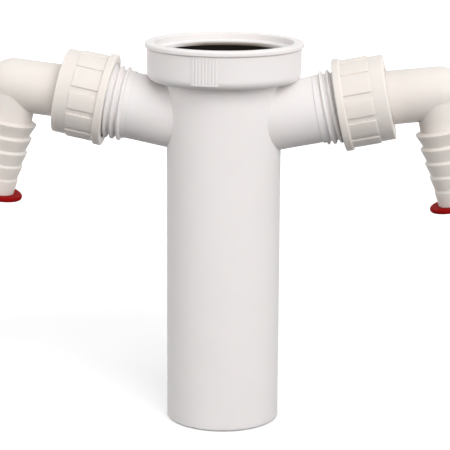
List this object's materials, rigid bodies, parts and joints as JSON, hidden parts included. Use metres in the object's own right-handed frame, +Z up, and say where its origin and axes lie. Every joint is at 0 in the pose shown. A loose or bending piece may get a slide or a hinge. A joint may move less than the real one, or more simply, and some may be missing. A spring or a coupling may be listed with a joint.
{
  "type": "washing machine drain connector",
  "caption": "Twin appliance drain connector: plain tube with a sealed socket, threaded side branches, union nuts, barbed hose elbows and closing plugs.",
  "frame": {"origin": "centre of the main tube's lower end, on the surface that the fitting stands on", "axes": "+Z up the main tube towards the socket, +X towards the right-hand branch of the picture"},
  "size_m": [0.189, 0.0554, 0.1358],
  "materials": {
    "white_polypropylene": "satin moulded polypropylene, off-white",
    "cream_polypropylene": "smooth moulded polypropylene, slightly warmer white",
    "black_rubber": "matt black seal rubber",
    "red_polyethylene": "smooth moulded red polyethylene"
  },
  "bodies": {
    "body": {"fitting_body": "white_polypropylene", "socket_seal": "black_rubber"},
    "washer_right": {"sealing_washer_right": "black_rubber"},
    "nut_right": {"union_nut_right": "cream_polypropylene"},
    "elbow_right": {"hose_elbow_right": "cream_polypropylene"},
    "plug_right": {"nozzle_plug_right": "red_polyethylene"},
    "washer_left": {"sealing_washer_left": "black_rubber"},
    "nut_left": {"union_nut_left": "cream_polypropylene"},
    "elbow_left": {"hose_elbow_left": "cream_polypropylene"},
    "plug_left": {"nozzle_plug_left": "red_polyethylene"}
  },
  "joints": [
    {"name": "elbow_draw_right", "type": "slide", "parent": "body", "child": "washer_right", "axis": [0.9806, 0, 0.1959], "range_m": [0, 0.01]},
    {"name": "nut_turn_right", "type": "hinge", "parent": "washer_right", "child": "nut_right", "pos_m": [0.0506, 0, 0.11631], "axis": [0.9806, 0, 0.1959], "range_deg": [0, 1501]},
    {"name": "elbow_swivel_right", "type": "hinge", "parent": "washer_right", "child": "elbow_right", "pos_m": [0.0506, 0, 0.11631], "axis": [0.9806, 0, 0.1959], "continuous": true},
    {"name": "plug_pull_right", "type": "slide", "parent": "elbow_right", "child": "plug_right", "axis": [0.23, 0, -0.9732], "range_m": [0, 0.012]},
    {"name": "elbow_draw_left", "type": "slide", "parent": "body", "child": "washer_left", "axis": [-0.9806, 0, 0.1959], "range_m": [0, 0.01]},
    {"name": "nut_turn_left", "type": "hinge", "parent": "washer_left", "child": "nut_left", "pos_m": [-0.0506, 0, 0.11631], "axis": [-0.9806, 0, 0.1959], "range_deg": [0, 1501]},
    {"name": "elbow_swivel_left", "type": "hinge", "parent": "washer_left", "child": "elbow_left", "pos_m": [-0.0506, 0, 0.11631], "axis": [-0.9806, 0, 0.1959], "continuous": true},
    {"name": "plug_pull_left", "type": "slide", "parent": "elbow_left", "child": "plug_left", "axis": [-0.23, 0, -0.9732], "range_m": [0, 0.012]}
  ],
  "couplings": [
    {"joint": "nut_turn_right", "follows": "elbow_draw_right", "rad_per_m": 2618},
    {"joint": "nut_turn_left", "follows": "elbow_draw_left", "rad_per_m": 2618}
  ]
}
